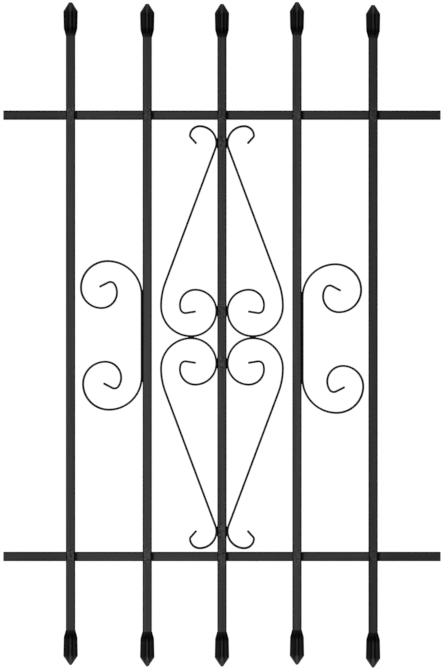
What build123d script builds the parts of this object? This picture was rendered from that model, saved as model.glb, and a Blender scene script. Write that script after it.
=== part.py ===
from build123d import *
import math
import os

# Wall-mounted window security grille: five square-tube bars with a fluted spear on both ends,
# two square-tube rails behind them, four heart scrolls round the middle bar and two C-scrolls.
#
# Millimetres, +Z up, X along the rails, -Y towards the room or street in front of the grille.
# The origin is the centre of the lower rail's back face, which lies on the wall at Y = 0.

# Layout of the whole grille
grille_width = 609.6            # length of both rails
overall_height = 923.0          # from spear tip to spear tip
rail_inset = 153.7              # from the spears' tips in to each rail's centre line
bar_count = 5
bar_pitch = 105.2               # between neighbouring bars' centre lines
bar_rises = (3.0, 1.0, 0.8, 3.4, -0.6)    # how far each bar was welded above the middle
bar_shifts = (-0.5, 1.1, 0.0, -0.7, 0.1)  # and how far to the right of its even place

# Square tube of the bars and the rails
tube_size = 12.7
tube_wall = 1.5
tube_corner = 1.9               # outside corner radius

# Spear; the upper ones are a little shorter and blunter than the lower ones
upper_spear_length = 46.0       # from the bar's end to the tip
lower_spear_length = 48.2
spear_base_lip = 0.4            # how far the base stands out past the tube's face
spear_base_chamfer = 1.5        # cut off each corner of the square base
spear_collar_height = 9.5       # where the base's slope ends
spear_collar_width = 18.9       # across flats there
spear_shoulder_width = 20.0     # across flats at the shoulder
spear_point_length = 12.5       # from the shoulder to the tip
spear_nose_length = 0.7         # blunt end of the point
upper_nose_width = 5.3          # across flats where the nose begins
upper_tip_width = 4.0
lower_nose_width = 3.8
lower_tip_width = 2.6
flute_depth = 2.7               # below the corners of the eight-sided body, at the shoulder
flute_root_width = 1.5
flute_angle = 92.0              # between a flute's two flanks
flute_run_out = 5.0             # from the tip down to where the flutes begin
spigot_length = 14.0            # plugged into the bar's bore
spigot_clearance = 0.15         # each side
spigot_chamfer = 1.0

# Flat strip of the scrolls, bent on edge
strip_thickness = 2.8
strip_depth = 12.7              # front to back
scroll_tip_length = 13.5        # straight stretch held by the bending jig
scroll_tip_radius = 7.0

# Heart scroll: the foot rests on its twin, the curls touch the middle bar
heart_drop = 1.9                # how far the hearts' meeting line lies below the middle
heart_foot_radius = 35.2        # from the meeting line up to the bar
heart_side_clearance = 12.6     # from the foot to the next bar
heart_curl_radius = 29.5        # from the bar over the top of the foot's curl
heart_inner_radius = 21.3       # from there down its inner side
heart_inner_turn = 107.0
heart_end_turn = 82.0
heart_waist_radius = 94.4       # where the foot runs into the leg
heart_rail_clearance = 30.85    # from the head's touch on the bar to the rail
heart_head_radius = 23.3        # from the leg, past the bar, to the top
heart_head_inner_radius = 13.5
heart_head_inner_turn = 88.0
heart_head_tip_radius = 3.0
heart_head_tip_turn = 44.0
heart_head_tip_length = 12.2

# C-scroll: its straight back lies along a bar, its upper curl is a little larger
c_drops = (-0.5, 3.7)           # how far the left and right C-scrolls lie below the middle
c_upper_back = 56.1             # straight back above its middle
c_upper_radii = (47.5, 28.4, 21.7)        # back to top, outer side to foot, and inner turn
c_upper_clearance = 5.2         # from the outer side to the next bar
c_upper_inner_turn = 121.4
c_upper_end_turn = 85.4
c_lower_back = 57.7
c_lower_radii = (45.7, 30.9, 22.1)
c_lower_clearance = 8.1
c_lower_inner_turn = 122.3
c_lower_end_turn = 85.8

# Weld beads
crossing_bead_radius = 3.2
crossing_bead_length = 9.6
scroll_bead_radius = 2.7
scroll_bead_length = 12.0
bead_taper = 0.5                # share of the radius cut off at each end

# Places that follow from the sizes above
tube_half = tube_size / 2
strip_half = strip_thickness / 2
tube_bore = tube_size - 2 * tube_wall
rail_spacing = overall_height - 2 * rail_inset
rail_y = -tube_half
rail_heights = {"lower_rail": 0, "upper_rail": rail_spacing}
bar_back_y = -tube_size
bar_y = bar_back_y - tube_half
middle_z = rail_spacing / 2
bar_length = overall_height - upper_spear_length - lower_spear_length
bar_offset = (lower_spear_length - upper_spear_length) / 2
bar_places = [(index - (bar_count - 1) / 2) * bar_pitch + bar_shifts[index % len(bar_shifts)]
              for index in range(bar_count)]
bar_middles = [middle_z + bar_offset + bar_rises[index % len(bar_rises)] for index in range(bar_count)]
side_gap = bar_pitch - tube_size
middle_bar = bar_count // 2

# The spear's body: a side for each face and each corner of the bar, and a flute between neighbours
body_sides = 8
body_turn = 360 / body_sides

# The heart's centre line, measured from the bar's centre line and the hearts' meeting line. Its leg
# is the line that touches both the waist's bend and the head's, so its lean follows from their places.
heart_contact_x = tube_half + strip_half
heart_foot_x = heart_contact_x + heart_foot_radius
heart_outer_radius = side_gap - strip_thickness - heart_side_clearance - heart_foot_radius
foot_contact_z = strip_half + heart_foot_radius
head_contact_z = rail_spacing / 2 - tube_half - heart_rail_clearance
leg_bends = heart_waist_radius + heart_head_radius
leg_reach_x = heart_foot_radius + heart_outer_radius - leg_bends
leg_reach_z = head_contact_z - strip_half - heart_outer_radius
leg_length = math.sqrt(leg_reach_x ** 2 + leg_reach_z ** 2 - leg_bends ** 2)
heart_lean = math.degrees(math.atan2(leg_reach_x, leg_reach_z) + math.atan2(leg_bends, leg_length))

os.makedirs("parts", exist_ok=True)


def save(part, label):
    """Label a finished piece and write it under its own name."""
    part.label = label
    export_step(part, f"parts/{label}.step")


def rail_plane(height):
    """Plane across the middle of a rail."""
    return Plane((0, rail_y, height), x_dir=(0, 1, 0), z_dir=(1, 0, 0))


def bar_plane(index):
    """Plane across the middle of a bar."""
    return Plane((bar_places[index], bar_y, bar_middles[index]))


def square_tube(middle, length):
    """Square tube centred on a plane and running along its normal."""
    with BuildPart() as tube:
        with BuildSketch(middle):
            RectangleRounded(tube_size, tube_size, tube_corner)
            Rectangle(tube_bore, tube_bore, mode=Mode.SUBTRACT)
        extrude(amount=length / 2, both=True)
    return tube.part


def spear_sides(outline, turn):
    """Two opposite sides of the spear's body: one outline run right through, turned about Z."""
    other_side = [(-x, z) for x, z in reversed(outline)]
    with BuildPart() as sides:
        with BuildSketch(Plane.XZ):
            with BuildLine():
                Polyline(*outline, *other_side, close=True)
            make_face()
        extrude(amount=spear_shoulder_width, both=True)
    return sides.part.rotate(Axis.Z, turn)


def make_flute(shoulder_z, nose_half):
    """Cutter for one flute, which runs out on the point above and on the base's slope below."""
    to_corner = math.cos(math.radians(body_turn / 2))
    floor = spear_shoulder_width / 2 / to_corner - flute_depth
    nose_slope = (spear_shoulder_width / 2 - nose_half) / (spear_point_length - spear_nose_length)
    run_out_half = nose_half + nose_slope * (flute_run_out - spear_nose_length)
    slope = (floor - run_out_half / to_corner) / (spear_point_length - flute_run_out)
    reach = spear_point_length + flute_depth
    mouth_depth = spear_shoulder_width / 2
    root_half = flute_root_width / 2
    mouth_half = root_half + mouth_depth * math.tan(math.radians(flute_angle / 2))
    with BuildPart() as flute:
        with BuildLine(Plane.XZ) as path:
            Polyline((floor, -flute_depth), (floor, shoulder_z), (floor - slope * reach, shoulder_z + reach))
        with BuildSketch(Plane(path.line @ 0, x_dir=(1, 0, 0), z_dir=path.line % 0)):
            with BuildLine():
                Polyline((0, -root_half), (0, root_half), (mouth_depth, mouth_half),
                         (mouth_depth, -mouth_half), close=True)
            make_face()
        sweep(path=path.wire(), transition=Transition.RIGHT)
    return flute.part


def make_spear(length, nose_width, tip_width):
    """Spear standing on the bar's end at Z = 0: eight sides, a flute on each corner, spigot below."""
    face_half = tube_half + spear_base_lip
    corner_half = (2 * face_half - spear_base_chamfer) / math.sqrt(2)
    spigot_size = tube_bore - 2 * spigot_clearance
    shoulder_z = length - spear_point_length
    body = [(spear_collar_width / 2, spear_collar_height), (spear_shoulder_width / 2, shoulder_z),
            (nose_width / 2, length - spear_nose_length), (tip_width / 2, length)]
    with BuildPart() as spear:
        add(spear_sides([(face_half, 0)] + body, 0))
        for side in range(1, body_sides // 2):
            base_half = corner_half if side % 2 else face_half
            add(spear_sides([(base_half, 0)] + body, side * body_turn), mode=Mode.INTERSECT)
        with PolarLocations(0, body_sides, start_angle=body_turn / 2):
            add(make_flute(shoulder_z, nose_width / 2), mode=Mode.SUBTRACT)
        with BuildSketch(Plane.XY):
            Rectangle(spigot_size, spigot_size)
        extrude(amount=-spigot_length)
        spigot_end = spear.faces().sort_by(Axis.Z)[0]
        chamfer(spigot_end.edges(), spigot_chamfer)
    return spear.part


def bend_strip(start, heading, steps):
    """Flat strip on edge that leaves a start point in the XZ plane along a heading in degrees.

    Each step is a pair: a radius with a turn in degrees, or a length with no turn.
    """
    with BuildPart() as strip:
        with BuildLine() as path:
            point = start
            direction = (math.cos(math.radians(heading)), math.sin(math.radians(heading)))
            for size, turn in steps:
                if turn is None:
                    stretch = Line(point, Vector(point) + Vector(direction) * size)
                else:
                    stretch = JernArc(point, direction, size, turn)
                point = stretch @ 1
                direction = stretch % 1
        with BuildSketch(Plane(path.line @ 0, z_dir=path.line % 0, x_dir=(0, 0, 1))):
            Rectangle(strip_depth, strip_thickness)
        sweep(path=path.wire())
    return strip.part.rotate(Axis.X, 90)


def make_heart():
    """Heart scroll right of the middle bar and above its twin, on the bar's centre line."""
    foot = (heart_foot_x, strip_half)
    curl = [(heart_foot_radius, -90), (heart_curl_radius, -90), (heart_inner_radius, -heart_inner_turn),
            (scroll_tip_radius, -heart_end_turn), (scroll_tip_length, None)]
    head = [(heart_outer_radius, 90), (heart_waist_radius, heart_lean), (leg_length, None),
            (heart_head_radius, -90 - heart_lean), (heart_head_inner_radius, -heart_head_inner_turn),
            (heart_head_tip_radius, -heart_head_tip_turn), (heart_head_tip_length, None)]
    with BuildPart() as heart:
        add(bend_strip(foot, 180, curl))
        add(bend_strip(foot, 0, head))
    return heart.part


def make_c_scroll():
    """C-scroll whose back lies along the plane X = 0 and whose curls open towards +X."""
    upper_outer = side_gap - strip_thickness - c_upper_clearance - c_upper_radii[0]
    lower_outer = side_gap - strip_thickness - c_lower_clearance - c_lower_radii[0]
    upper = [(c_upper_back, None), (c_upper_radii[0], -90), (upper_outer, -90),
             (c_upper_radii[1], -90), (c_upper_radii[2], -c_upper_inner_turn),
             (scroll_tip_radius, -c_upper_end_turn), (scroll_tip_length, None)]
    lower = [(c_lower_back, None), (c_lower_radii[0], 90), (lower_outer, 90),
             (c_lower_radii[1], 90), (c_lower_radii[2], c_lower_inner_turn),
             (scroll_tip_radius, c_lower_end_turn), (scroll_tip_length, None)]
    with BuildPart() as scroll:
        add(bend_strip((strip_half, 0), 90, upper))
        add(bend_strip((strip_half, 0), -90, lower))
    return scroll.part


def make_bead(radius, length):
    """Weld bead lying along X: an eight-sided rod whose ends taper off."""
    with BuildPart() as bead:
        with BuildSketch(Plane.YZ):
            RegularPolygon(radius, body_sides, major_radius=False, rotation=body_turn / 2)
        extrude(amount=length / 2, both=True)
        ends = bead.faces().filter_by(Axis.X)
        chamfer(ends.edges(), radius * bead_taper, radius * bead_taper)
    return bead.part


# Rails
for name, height in rail_heights.items():
    with BuildPart() as rail:
        add(square_tube(rail_plane(height), grille_width))
    save(rail.part, name)

# Bars
for index in range(bar_count):
    with BuildPart() as bar:
        add(square_tube(bar_plane(index), bar_length))
    save(bar.part, f"bar_{index + 1}")

# Spears on both ends of every bar
upper_solid = make_spear(upper_spear_length, upper_nose_width, upper_tip_width)
lower_solid = make_spear(lower_spear_length, lower_nose_width, lower_tip_width)
for index, place in enumerate(bar_places):
    ends = {"upper": (upper_solid, bar_middles[index] + bar_length / 2, 0),
            "lower": (lower_solid, bar_middles[index] - bar_length / 2, 180)}
    for name, (solid, height, turn) in ends.items():
        with BuildPart() as spear:
            with Locations(Location((place, bar_y, height), (turn, 0, 0))):
                add(solid)
        save(spear.part, f"{name}_spear_{index + 1}")

# Heart scrolls, mirrored left and right of the middle bar and above and below their meeting line
scrolls = []
heart_solid = make_heart()
heart_z = middle_z - heart_drop
for row, up in (("upper", 1), ("lower", -1)):
    for side, right in (("left", -1), ("right", 1)):
        with BuildPart() as heart_scroll:
            turned = heart_solid
            if right < 0:
                turned = mirror(turned, about=Plane.YZ, mode=Mode.PRIVATE)
            if up < 0:
                turned = mirror(turned, about=Plane.XY, mode=Mode.PRIVATE)
            add(turned.moved(Location((bar_places[middle_bar], bar_y, heart_z))))
        scrolls.append(heart_scroll.part)
        save(heart_scroll.part, f"heart_scroll_{row}_{side}")

# C-scrolls on the outer side of the bars beside the middle one; the right one is turned half round
c_solid = make_c_scroll()
c_places = {"left": (bar_places[middle_bar - 1] - tube_half, Plane.YZ, c_drops[0]),
            "right": (bar_places[middle_bar + 1] + tube_half, Plane.XY, c_drops[1])}
for side, (face_x, flip, drop) in c_places.items():
    with BuildPart() as c_scroll:
        turned = mirror(c_solid, about=flip, mode=Mode.PRIVATE)
        add(turned.moved(Location((face_x, bar_y, middle_z - drop))))
    scrolls.append(c_scroll.part)
    save(c_scroll.part, f"c_scroll_{side}")

# Weld beads above and below each rail, in the corners behind the bars
with BuildPart() as crossing_welds:
    corners = [(place, bar_back_y, height + side * tube_half)
               for place in bar_places for height in rail_heights.values() for side in (-1, 1)]
    with Locations(*corners):
        add(make_bead(crossing_bead_radius, crossing_bead_length))
    with Locations(*[rail_plane(height) for height in rail_heights.values()]):
        Box(tube_size, tube_size, grille_width, mode=Mode.SUBTRACT)
    with Locations(*[bar_plane(index) for index in range(bar_count)]):
        Box(tube_size, tube_size, bar_length, mode=Mode.SUBTRACT)
save(crossing_welds.part, "crossing_welds")

# Weld beads laid over the scrolls' back edges: on the bars, and where the hearts' feet meet
bead_y = bar_y + min(strip_depth, tube_size) / 2
upright_places = []
for right in (-1, 1):
    for height in (foot_contact_z, head_contact_z):
        for up in (-1, 1):
            upright_places.append((bar_places[middle_bar] + right * tube_half, bead_y, heart_z + up * height))
for face_x, flip, drop in c_places.values():
    for height in (-c_lower_back, 0, c_upper_back):
        end = height if flip == Plane.YZ else -height
        upright_places.append((face_x, bead_y, middle_z - drop + end))
foot_places = [(bar_places[middle_bar] + right * heart_foot_x, bead_y, heart_z) for right in (-1, 1)]
with BuildPart() as scroll_welds:
    bead = make_bead(scroll_bead_radius, scroll_bead_length)
    with Locations(*foot_places):
        add(bead)
    with Locations(*[Location(place, (0, 90, 0)) for place in upright_places]):
        add(bead)
    split(bisect_by=Plane.XZ.offset(-bead_y), keep=Keep.BOTTOM)
    for scroll in scrolls:
        add(scroll, mode=Mode.SUBTRACT)
    with Locations(*[bar_plane(index) for index in range(bar_count)]):
        Box(tube_size, tube_size, bar_length, mode=Mode.SUBTRACT)
save(scroll_welds.part, "scroll_welds")
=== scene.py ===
import bpy
import math
import random
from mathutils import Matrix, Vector


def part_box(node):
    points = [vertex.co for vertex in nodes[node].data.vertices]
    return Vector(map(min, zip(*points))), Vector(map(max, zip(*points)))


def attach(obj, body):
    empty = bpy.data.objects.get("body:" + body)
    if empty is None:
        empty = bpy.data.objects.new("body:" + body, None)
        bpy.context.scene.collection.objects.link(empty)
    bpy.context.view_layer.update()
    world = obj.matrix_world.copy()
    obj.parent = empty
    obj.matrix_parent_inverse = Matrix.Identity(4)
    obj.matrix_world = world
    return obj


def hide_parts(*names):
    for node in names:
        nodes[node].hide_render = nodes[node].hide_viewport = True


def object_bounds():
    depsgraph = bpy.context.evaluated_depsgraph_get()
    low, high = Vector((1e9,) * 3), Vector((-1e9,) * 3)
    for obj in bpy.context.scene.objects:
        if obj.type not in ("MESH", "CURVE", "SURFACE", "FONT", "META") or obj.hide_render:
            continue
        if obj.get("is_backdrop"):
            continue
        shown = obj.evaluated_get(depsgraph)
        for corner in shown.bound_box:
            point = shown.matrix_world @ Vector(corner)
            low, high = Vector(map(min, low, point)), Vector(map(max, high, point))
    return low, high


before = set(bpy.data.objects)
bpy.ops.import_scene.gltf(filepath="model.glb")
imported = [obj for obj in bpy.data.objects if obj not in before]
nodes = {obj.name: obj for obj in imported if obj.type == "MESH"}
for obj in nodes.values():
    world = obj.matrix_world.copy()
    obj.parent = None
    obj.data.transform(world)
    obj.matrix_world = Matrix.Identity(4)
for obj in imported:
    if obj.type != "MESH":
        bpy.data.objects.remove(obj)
cad_low, cad_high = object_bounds()
scene = bpy.context.scene
mm = 0.001

# Names of the CAD nodes
rails = ["lower_rail", "upper_rail"]
bars = sorted(name for name in nodes if name.startswith("bar_"))
middle_bar = bars[len(bars) // 2]
spears = sorted(name for name in nodes if "_spear_" in name)
hearts = sorted(name for name in nodes if name.startswith("heart_scroll"))
c_scrolls = sorted(name for name in nodes if name.startswith("c_scroll"))


def middle(name):
    """Middle of a CAD node's box."""
    low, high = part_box(name)
    return (low + high) / 2


# Places read from the CAD nodes, in metres
rail_low, rail_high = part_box("lower_rail")
tube = rail_high.z - rail_low.z
bar_back = rail_low.y             # the bars lie on the rails' fronts
bar_front = bar_back - tube
rail_zs = [middle(name).z for name in rails]
bar_xs = [middle(name).x for name in bars]
middle_bar_x = middle(middle_bar).x
hearts_z = (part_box("heart_scroll_upper_right")[0].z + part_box("heart_scroll_lower_right")[1].z) / 2
grille_middle = Vector((0, bar_front, sum(rail_zs) / 2))

# Where the scrolls touch the bars and each other
foot_touch = 36.6 * mm            # on the middle bar, from the hearts' meeting line
head_touch = 270.6 * mm
foot_reach = 42.95 * mm           # from the middle bar's centre line to the hearts' feet
c_long_touch = 57.7 * mm          # on bars 2 and 4, from the C-scroll's middle
c_short_touch = 56.1 * mm
c_touches = {
    "c_scroll_left": (-c_long_touch, 0.0, c_short_touch),
    "c_scroll_right": (-c_short_touch, 0.0, c_long_touch),
}
c_middles = {"c_scroll_left": 308.3 * mm, "c_scroll_right": 304.1 * mm}     # heights

# Camera: far off, level and square to the grille
camera_distance = 9.0
view_height = 0.932               # what the frame spans at the middle of the bars' depth
aim_right, aim_up = -0.65 * mm, 1.85 * mm
camera_data = bpy.data.cameras.new("camera")
camera_data.sensor_width = 36
camera_data.lens = camera_data.sensor_width * camera_distance / view_height
camera_data.clip_end = 60
camera = bpy.data.objects.new("camera", camera_data)
scene.collection.objects.link(camera)
camera.location = grille_middle + Vector((aim_right, tube / 2 - camera_distance, aim_up))
camera.rotation_euler = (math.pi / 2, 0, 0)
scene.camera = camera

# Light: one soft lamp from the left of the camera, turned to the grille's middle
lamp_offset = Vector((-1.9, -6.6, -0.3))
lamp_size, lamp_power = 1.5, 380
lamp_data = bpy.data.lights.new("key", "AREA")
lamp_data.shape = "RECTANGLE"
lamp_data.size = lamp_data.size_y = lamp_size
lamp_data.energy = lamp_power
lamp = bpy.data.objects.new("key", lamp_data)
scene.collection.objects.link(lamp)
lamp.location = grille_middle + lamp_offset
lamp.rotation_mode = "QUATERNION"
lamp.rotation_quaternion = (-lamp_offset).to_track_quat("-Z", "Y")


class Graph:
    """A node tree with short calls for adding and linking nodes."""

    def __init__(self, tree):
        self.tree = tree
        tree.nodes.clear()

    def add(self, kind, inputs=None, **settings):
        node = self.tree.nodes.new(kind)
        for key, value in settings.items():
            setattr(node, key, value)
        for key, value in (inputs or {}).items():
            if isinstance(value, bpy.types.NodeSocket):
                self.tree.links.new(value, node.inputs[key])
            else:
                node.inputs[key].default_value = value
        return node

    def math(self, operation, a, b=0.0):
        return self.add("ShaderNodeMath", {0: a, 1: b}, operation=operation).outputs[0]

    def ramp(self, value, low, high, to_low=0.0, to_high=1.0):
        """Smooth step between two results as the value goes from low to high."""
        inputs = {"Value": value, "From Min": low, "From Max": high, "To Min": to_low, "To Max": to_high}
        return self.add("ShaderNodeMapRange", inputs, interpolation_type="SMOOTHSTEP").outputs["Result"]

    def noise(self, place, scale, detail, roughness=0.5):
        inputs = {"Vector": place, "Scale": scale, "Detail": detail, "Roughness": roughness}
        return self.add("ShaderNodeTexNoise", inputs).outputs["Fac"]

    def stretch(self, place, factors):
        return self.add("ShaderNodeVectorMath", {0: place, 1: factors}, operation="MULTIPLY").outputs[0]


# World: a white studio with dark sides, so that the rounded edges of the tubes stay dark.
# A light part is its axis, where along it the light begins and is full, and its strength.
front_light = ("Y", -0.45, -0.95, 0.16)
top_light = ("Z", 0.2, 1.0, 0.6)
back_light = ("Y", 0.3, 0.9, 0.5)
side_level = 0.03
straight_back = (0.9, 0.99)       # glossy rays that go this way see the white that the camera sees


def studio():
    """A world that looks white and lights the part from in front, above and behind."""
    world = bpy.data.worlds.new("studio")
    world.use_nodes = True
    g = Graph(world.node_tree)
    rays = g.add("ShaderNodeLightPath").outputs
    direction = g.add("ShaderNodeTexCoord").outputs["Generated"]
    towards = g.add("ShaderNodeSeparateXYZ", {0: direction}).outputs
    front, top, back = [g.math("MULTIPLY", g.ramp(towards[axis], begin, full), strength)
                        for axis, begin, full, strength in (front_light, top_light, back_light)]
    level = g.math("ADD", front, top)
    level = g.math("ADD", level, back)
    level = g.math("ADD", level, side_level)
    lit = g.add("ShaderNodeBackground", {"Color": (1, 1, 1, 1), "Strength": level})
    seen = g.add("ShaderNodeBackground", {"Color": (1, 1, 1, 1), "Strength": 1.0})
    mirrored = g.math("MULTIPLY", rays["Is Glossy Ray"], g.ramp(towards["Y"], *straight_back))
    white = g.math("MAXIMUM", rays["Is Camera Ray"], rays["Is Transmission Ray"])
    white = g.math("MAXIMUM", white, mirrored)
    both = g.add("ShaderNodeMixShader", {0: white, 1: lit.outputs[0], 2: seen.outputs[0]})
    g.add("ShaderNodeOutputWorld", {0: both.outputs[0]})
    return world


scene.world = studio()

# Powder coat: scale per metre, detail and roughness of its patterns
cloud_pattern = (14, 3.0)
streak_pattern = (620, 2.0)
peel_pattern = (430, 2.0)
grit_pattern = (420, 1.5)
skin_pattern = (260, 4.0, 0.6)
most, nearly_all = (0.3, 0.7), (0.2, 0.8)        # ranges that hold so many of a pattern's values

# What the patterns do to the coat's tone, roughness and height
cloud_tone = (-0.1, 0.1)
streak_tone = (0.86, 1.14)
grit_tone = (-0.65, 0.8)
coat_roughness = (0.46, 0.54)
streak_height, grit_height = 0.5, 4.0            # of the orange peel's height
bump_strength, bump_distance = 0.5, 0.05 * mm
spot_core = 0.4                   # share of a rough spot's reach where it is full

# Painted shade on the rounded edges: where the normal's Y, squared, leaves the fronts and the sides
edge_shade_strength = 0.8
off_front = (0.998, 0.9)
off_side = (0.0, 0.1)


def spot_share(g, at, spots):
    """From 0 outside the spots to 1 at their cores; each spot is its x, its z and its reach."""
    near = 0.0
    for x, z, reach in spots:
        across = g.math("POWER", g.math("SUBTRACT", at["X"], x), 2.0)
        up = g.math("POWER", g.math("SUBTRACT", at["Z"], z), 2.0)
        distance = g.math("SQRT", g.math("ADD", across, up))
        near = g.math("MAXIMUM", near, g.ramp(distance, reach, reach * spot_core))
    return near


def end_painted_shade(g, at, axis, centre, begin, full, factor):
    """Painted shade: from 1 to the factor between two distances from the centre."""
    away = g.math("ABSOLUTE", g.math("SUBTRACT", at[axis], centre))
    return g.ramp(away, begin, full, 1.0, factor)


def edge_painted_shade(g):
    """Painted shade: 1 on fronts, backs and sides, and lower on the rounded edges between them."""
    normal = g.add("ShaderNodeNewGeometry").outputs["Normal"]
    facing = g.math("POWER", g.add("ShaderNodeSeparateXYZ", {0: normal}).outputs["Y"], 2.0)
    edge = g.math("MULTIPLY", g.ramp(facing, *off_front), g.ramp(facing, *off_side))
    return g.math("SUBTRACT", 1.0, g.math("MULTIPLY", edge, edge_shade_strength))


def powder_coat(name, colour, sheen, along=(1, 1, 1), spots=(), end_shade=None, cast=0.0, painted_from_mesh=False):
    """Satin powder coat: orange peel, faint streaks along the stock, rough spots near welds.

    The end shade is what the end shade function takes and paints shade towards the ends; cast is the height
    of a coarser skin. A coat painted from the mesh follows the shade and highlight painted in its points,
    and the others get painted shade on rounded edges.
    """
    material = bpy.data.materials.new(name)
    material.use_nodes = True
    g = Graph(material.node_tree)
    place = g.add("ShaderNodeTexCoord").outputs["Object"]
    at = g.add("ShaderNodeSeparateXYZ", {0: place}).outputs
    cloud = g.noise(place, *cloud_pattern)
    streaks = g.noise(g.stretch(place, along), *streak_pattern)
    peel = g.noise(place, *peel_pattern)
    shade = g.math("ADD", g.ramp(cloud, *most, *cloud_tone), g.ramp(streaks, *most, *streak_tone))
    height = g.math("ADD", peel, g.math("MULTIPLY", streaks, streak_height))
    if spots:
        near = spot_share(g, at, spots)
        grit = g.noise(place, *grit_pattern)
        shade = g.math("ADD", shade, g.math("MULTIPLY", near, g.ramp(grit, *nearly_all, *grit_tone)))
        height = g.math("ADD", height, g.math("MULTIPLY", g.math("MULTIPLY", grit, near), grit_height))
    if cast:
        height = g.math("ADD", height, g.math("MULTIPLY", g.noise(place, *skin_pattern), cast))
    if end_shade:
        shade = g.math("MULTIPLY", shade, end_painted_shade(g, at, *end_shade))
    # Painted light: shade and highlight from the mesh's points, or painted shade on rounded edges
    if painted_from_mesh:
        painted_light = g.add("ShaderNodeAttribute", attribute_name="painted_light").outputs["Fac"]
    else:
        painted_light = edge_painted_shade(g)
    shade = g.math("MULTIPLY", shade, painted_light)
    tint = g.add("ShaderNodeVectorMath", {0: colour, "Scale": shade}, operation="SCALE")
    bump = g.add("ShaderNodeBump", {"Strength": bump_strength, "Distance": bump_distance, "Height": height})
    shader = g.add("ShaderNodeBsdfPrincipled", {
        "Base Color": tint.outputs[0],
        "Normal": bump.outputs[0],
        "Specular IOR Level": g.math("MULTIPLY", shade, sheen),
        "Roughness": g.ramp(cloud, *most, *coat_roughness),
    })
    g.add("ShaderNodeOutputMaterial", {0: shader.outputs[0]})
    return material


sharp_angle = math.radians(60)    # edges sharper than this are softened
join_distance = 0.001 * mm        # points closer than this are joined


def dress(node, coat, softness):
    """Give a CAD node its coat, smooth shading and edges that the paint has rounded."""
    node.data.materials.clear()
    node.data.materials.append(coat)
    for face in node.data.polygons:
        face.use_smooth = True
    join = node.modifiers.new("join", "WELD")
    join.merge_threshold = join_distance
    edge = node.modifiers.new("soft_edges", "BEVEL")
    edge.width = softness
    edge.segments = 2
    edge.limit_method = "ANGLE"
    edge.angle_limit = sharp_angle
    even = node.modifiers.new("even_shading", "WEIGHTED_NORMAL")
    even.keep_sharp = False


def new_piece(name, points, faces, coat, replaced):
    """A modelled piece that stands for a CAD node."""
    mesh = bpy.data.meshes.new(name)
    mesh.from_pydata(points, [], faces)
    mesh.materials.append(coat)
    for face in mesh.polygons:
        face.use_smooth = True
    piece = bpy.data.objects.new(name, mesh)
    scene.collection.objects.link(piece)
    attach(piece, "root")
    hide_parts(replaced)
    return piece


# Tubes: each tube's colour and sheen are scaled by a painted shade for how the light falls on it, and all
# tubes get painted shade towards their ends. An end shade is the axis, the centre, the distances from it
# where the shade begins and is full, and its factor.
tube_colour, tube_sheen = (0.01, 0.01, 0.0104), 0.2
bar_painted_shades = (0.83, 0.98, 0.93, 1.05, 0.765)
rail_painted_shade = 0.85
bar_end_shade = ("Z", grille_middle.z, 0.1, 0.46, 0.85)
rail_end_shade = ("X", 0.0, 0.2, 0.24, 0.75)
streaks_up, streaks_across = (1, 1, 0.01), (0.01, 1, 1)
spot_reach = 17 * mm              # of the rough paint near a weld
tube_softness = 0.3 * mm


def dress_tube(name, painted_light, along, spots, end_shade):
    # The tube's painted shade scales its colour and sheen
    colour = [part * painted_light for part in tube_colour]
    coat = powder_coat(f"coat_{name}", colour, tube_sheen * painted_light, along, spots, end_shade)
    dress(nodes[name], coat, tube_softness)


for name, x, painted_light in zip(bars, bar_xs, bar_painted_shades):
    spot_zs = list(rail_zs)
    if name == middle_bar:
        spot_zs += [hearts_z + side * touch for side in (-1, 1) for touch in (foot_touch, head_touch)]
    dress_tube(name, painted_light, streaks_up, [(x, z, spot_reach) for z in spot_zs], bar_end_shade)
for name in rails:
    dress_tube(name, rail_painted_shade, streaks_across, (), rail_end_shade)

# Scrolls: the tubes' black paint made darker and duller, as painted shade on the thin strips
scroll_shaded_colour, scroll_sheen = (0.0025, 0.0025, 0.0026), 0.04
scroll_softness = 0.5 * mm
scroll_coat = powder_coat("coat_scrolls", scroll_shaded_colour, scroll_sheen)
for name in hearts + c_scrolls:
    dress(nodes[name], scroll_coat, scroll_softness)

# Spears, in millimetres from the bar's end. A kind is its length and its nose's and tip's half widths.
spear_kinds = {"upper": (46.0, 2.65, 2.0), "lower": (48.2, 1.9, 1.3)}
point_length, nose_length = 12.5, 0.7
collar_height, collar_half, shoulder_half = 9.5, 9.45, 10.0
base_halves = (6.75, 8.49)        # of the faces and of the cut corners
body_sides = 8
body_step = 2 * math.pi / body_sides
flute_floor = 8.12                # from the axis to a flute's bottom
flute_run_out = 5.0               # from the tip down to where the flutes begin
flute_root_half = 0.75            # half width of a flute's flat bottom
flute_flank = math.tan(math.radians(46))         # how fast a flute widens
edge_softness = 0.35              # how near two faces are where they begin to blend
outline_offsets = (-0.5, -0.25, 0, 0.25, 0.5)    # heights over which the outline is averaged

# Points of a spear's mesh: those on a ring, and the rings' heights
spear_around, even_rings = 128, 64
base_heights = [0.0, 0.4, 0.9]
even_low, even_high = 1.5, 0.6    # where the even rings begin, and how far below the tip they end
tip_drops = [0.3, 0]              # from the tip down to the last rings

# Paint on the spears, with painted shade and a painted highlight, and the heights between which they change
spear_colour, spear_sheen, spear_cast = (0.003, 0.003, 0.0031), 0.1, 1.5
groove_painted_shade, groove_depth = 0.5, 1.6
point_painted_highlight, corner_loss = 3.0, 2.4
point_below, point_above = 2, 1.5                # from the shoulder
face_part, corner_part = 0.75, 1.25              # 0 is a face's middle, 1 its edge and 2 a corner's middle
base_painted_shade = 0.65
base_dark_from, base_dark_to = (-1, 5), (9, 15)


def blend_low(a, b):
    """The lower of two values, rounded where they cross."""
    share = max(edge_softness - abs(a - b), 0) / edge_softness
    return min(a, b) - share * share * edge_softness / 4


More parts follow.
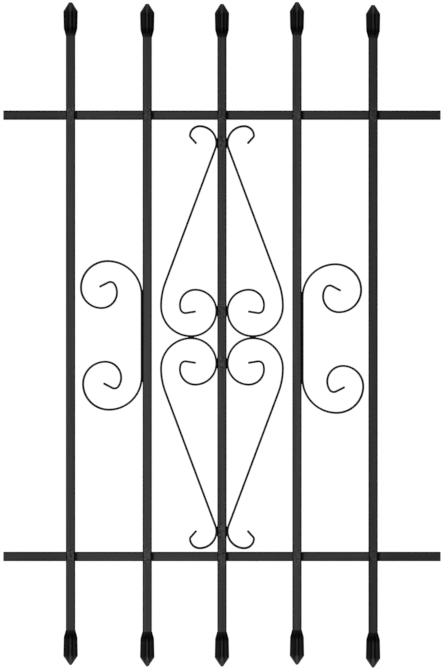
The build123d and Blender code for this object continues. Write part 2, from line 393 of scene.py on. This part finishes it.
def rise(value, low, high):
    """Smooth step from 0 at the low end to 1 at the high end."""
    share = min(max((value - low) / (high - low), 0), 1)
    return share * share * (3 - 2 * share)


def outline(points, height):
    """Half width at a height, with the outline's corners rounded."""
    total = 0
    for offset in outline_offsets:
        z = min(max(height + offset, 0), points[-1][0])
        for (low, low_half), (high, high_half) in zip(points, points[1:]):
            if z <= high:
                total += low_half + (high_half - low_half) * (z - low) / (high - low)
                break
    return total / len(outline_offsets)


def body_radius(turn, halves):
    """Radius of the eight-sided body at a turn about its axis, before its flutes are cut."""
    body = 2 * shoulder_half
    for side in range(body_sides):
        away = abs((turn - side * body_step + math.pi) % (2 * math.pi) - math.pi)
        if away < body_step:
            body = blend_low(body, halves[side % 2] / math.cos(away))
    return body


def fluted_radius(turn, body, floor):
    """The body's radius with the flutes cut; the floor is a flute's bottom."""
    away = abs(turn % body_step - body_step / 2)
    root = floor / math.cos(away)
    flank = (floor * flute_flank - flute_root_half) / (flute_flank * math.cos(away) - math.sin(away))
    return blend_low(body, -blend_low(-root, -flank))


def spear_painted_light(turn, height, shoulder, depth):
    """Painted light: painted shade in the flutes and near the base, a painted highlight on the point's main
    faces.
    """
    off_face = abs((turn + body_step) % (2 * body_step) - body_step) / body_step * 2
    groove = 1 - groove_painted_shade * min(depth / groove_depth, 1)
    highlight = point_painted_highlight - corner_loss * rise(off_face, face_part, corner_part)
    point = 1 + rise(height, shoulder - point_below, shoulder + point_above) * highlight
    base = 1 - base_painted_shade * (1 - rise(height, *base_dark_to)) * rise(height, *base_dark_from)
    return groove * point * base


def spear_grid(length, nose_half, tip_half):
    """Points, their painted shade and highlight, and faces of a spear that stands on the bar's end."""
    shoulder = length - point_length
    above = [(collar_height, collar_half), (shoulder, shoulder_half), (length - nose_length, nose_half),
             (length, tip_half)]
    slope = (shoulder_half - nose_half) / (point_length - nose_length)
    run_out_floor = (nose_half + slope * (flute_run_out - nose_length)) / math.cos(body_step / 2)
    fall = (flute_floor - run_out_floor) / (point_length - flute_run_out)
    even_span = length - (even_low + even_high)
    heights = base_heights + [even_low + even_span * ring / (even_rings - 1) for ring in range(even_rings)]
    heights += [length - drop for drop in tip_drops]
    points, painted_lights = [], []
    for height in heights:
        halves = [outline([(0, half)] + above, height) for half in base_halves]
        floor = flute_floor - fall * max(height - shoulder, 0)
        for step in range(spear_around):
            turn = 2 * math.pi * step / spear_around
            body = body_radius(turn, halves)
            radius = fluted_radius(turn, body, floor)
            points.append((radius * math.sin(turn), radius * math.cos(turn), height))
            painted_lights.append(spear_painted_light(turn, height, shoulder, body - radius))
    faces = []
    for ring in range(len(heights) - 1):
        for step in range(spear_around):
            here = ring * spear_around + step
            beside = ring * spear_around + (step + 1) % spear_around
            faces.append((here, here + spear_around, beside + spear_around, beside))
    first = tuple(range(spear_around))
    last = tuple(len(points) - 1 - step for step in range(spear_around))
    return points, painted_lights, faces + [first, last]


spear_coat = powder_coat("coat_spears", spear_colour, spear_sheen, streaks_up, cast=spear_cast, painted_from_mesh=True)
grids = {kind: spear_grid(*sizes) for kind, sizes in spear_kinds.items()}
for name in spears:
    kind = name.split("_")[0]
    points, painted_lights, faces = grids[kind]
    length = spear_kinds[kind][0] * mm
    low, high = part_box(name)
    up = 1 if kind == "upper" else -1
    tip = high.z if up > 0 else low.z
    base = Vector(((low.x + high.x) / 2, (low.y + high.y) / 2, tip - up * length))
    placed = [base + Vector((x, y * up, z * up)) * mm for x, y, z in points]
    piece = new_piece(f"cast_{name}", placed, faces, spear_coat, name)
    # The spear's painted shade and highlight, held in its points
    piece.data.attributes.new("painted_light", "FLOAT", "POINT").data.foreach_set("value", painted_lights)

# Weld beads: the angle of the section, its radius, the bead's length and how much its ends taper
crossing_bead = (math.pi / 2, 3.2 * mm, 9.6 * mm, 0.4)
scroll_bead = (math.pi, 2.7 * mm, 17 * mm, 1.5)
foot_bead = (math.pi, 2.7 * mm, 9 * mm, 1.5)
bead_rows, bead_spans = 30, 12
bead_body, bead_ends = 0.95, 0.03                # shares of the radius
ripple_height, ripple_bow = 0.05, 0.6 * mm
pitch_range = (1.2, 1.5)          # of the ripples, in millimetres
radius_range = (0.9, 1.0)         # shares of the bead's radius
lean_range = (-0.15, 0.15)        # how much fuller one end is
weld_colour, weld_sheen, weld_cast = (0.005, 0.005, 0.0052), 0.14, 1.0
weld_coat = powder_coat("coat_welds", weld_colour, weld_sheen, cast=weld_cast)
draw = random.Random(11)


def add_bead(points, faces, centre, directions, sizes):
    """One rippled bead whose section is a sector from the out direction towards the aside one."""
    along, out, aside = directions
    angle, radius, length, taper = sizes
    pitch = draw.uniform(*pitch_range) * mm
    radius = radius * draw.uniform(*radius_range)
    lean = draw.uniform(*lean_range)
    start = len(points)
    for row in range(bead_rows + 1):
        place = row / bead_rows * 2 - 1
        run = place * length / 2
        swell = max(1 - place * place, 0.0) ** taper * (1 + lean * place) * bead_body + bead_ends
        points.append(centre + along * run)
        for span in range(bead_spans + 1):
            turn = angle * span / bead_spans
            bow = math.sin(turn / angle * math.pi)
            ripple = ripple_height * math.cos(2 * math.pi * (run + bow * ripple_bow) / pitch) * bow
            reach = radius * min(swell * (1 + ripple), 1.0)
            outwards = out * math.cos(turn) + aside * math.sin(turn)
            points.append(centre + along * run + outwards * reach)
    size = bead_spans + 2
    for row in range(bead_rows):
        for step in range(size):
            here = start + row * size + step
            beside = start + row * size + (step + 1) % size
            faces.append((here, beside, beside + size, here + size))
    faces.append(tuple(start + step for step in reversed(range(size))))
    faces.append(tuple(start + bead_rows * size + step for step in range(size)))


# Beads in the corners between the bars' backs and the rails
right, back, up = Vector((1, 0, 0)), Vector((0, 1, 0)), Vector((0, 0, 1))
points, faces = [], []
for x in bar_xs:
    for z in rail_zs:
        for side in (-1, 1):
            corner = Vector((x, bar_back, z + side * tube / 2))
            add_bead(points, faces, corner, (right, back, up * side), crossing_bead)
new_piece("crossing_beads", points, faces, weld_coat, "crossing_welds")

# Beads behind the scrolls' back edges, where they touch the bars and each other
touches = [(middle_bar_x + side * tube / 2, hearts_z + turn * touch)
           for side in (-1, 1) for touch in (foot_touch, head_touch) for turn in (-1, 1)]
for name in c_scrolls:
    low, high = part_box(name)
    against = high.x if low.x < 0 else low.x
    touches += [(against, c_middles[name] + height) for height in c_touches[name]]
points, faces = [], []
for x, z in touches:
    add_bead(points, faces, Vector((x, bar_back, z)), (up, right, back), scroll_bead)
for side in (-1, 1):
    feet = Vector((middle_bar_x + side * foot_reach, bar_back, hearts_z))
    add_bead(points, faces, feet, (right, up, back), foot_bead)
new_piece("scroll_beads", points, faces, weld_coat, "scroll_welds")

# Floor: a pale disc that fades out towards its rim
floor_drop = 0.25                 # below the lowest tip
floor_radius = 3.0
floor_corners = 96
floor_colour = (0.9, 0.9, 0.9, 1)
floor_glow = 0.5
fade_begin, fade_end = 0.35, 0.97                # shares of the radius


def floor_coat():
    """Matt and glowing a little, and clear at the rim."""
    material = bpy.data.materials.new("floor")
    material.use_nodes = True
    g = Graph(material.node_tree)
    place = g.add("ShaderNodeTexCoord").outputs["Object"]
    distance = g.add("ShaderNodeVectorMath", {0: place}, operation="LENGTH").outputs["Value"]
    rays = g.add("ShaderNodeLightPath").outputs
    seen = g.math("MAXIMUM", rays["Is Glossy Ray"], rays["Is Transmission Ray"])
    seen = g.math("MAXIMUM", rays["Is Camera Ray"], seen)
    matt = g.add("ShaderNodeBsdfDiffuse", {"Color": floor_colour})
    strength = g.math("MULTIPLY", seen, floor_glow)
    glow = g.add("ShaderNodeEmission", {"Color": (1, 1, 1, 1), "Strength": strength})
    pale = g.add("ShaderNodeAddShader", {0: matt.outputs[0], 1: glow.outputs[0]})
    clear = g.add("ShaderNodeBsdfTransparent")
    rim = g.ramp(distance, floor_radius * fade_begin, floor_radius * fade_end)
    both = g.add("ShaderNodeMixShader", {0: rim, 1: pale.outputs[0], 2: clear.outputs[0]})
    g.add("ShaderNodeOutputMaterial", {0: both.outputs[0]})
    return material


turns = [2 * math.pi * corner / floor_corners for corner in range(floor_corners)]
rim_points = [(floor_radius * math.cos(turn), floor_radius * math.sin(turn), 0) for turn in turns]
floor_mesh = bpy.data.meshes.new("floor")
floor_mesh.from_pydata(rim_points, [], [tuple(range(floor_corners))])
floor_mesh.materials.append(floor_coat())
floor = bpy.data.objects.new("floor", floor_mesh)
scene.collection.objects.link(floor)
floor.location = (0, bar_back, cad_low.z - floor_drop)
floor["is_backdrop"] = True

bpy.context.scene.view_settings.view_transform = "Standard"

low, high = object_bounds()
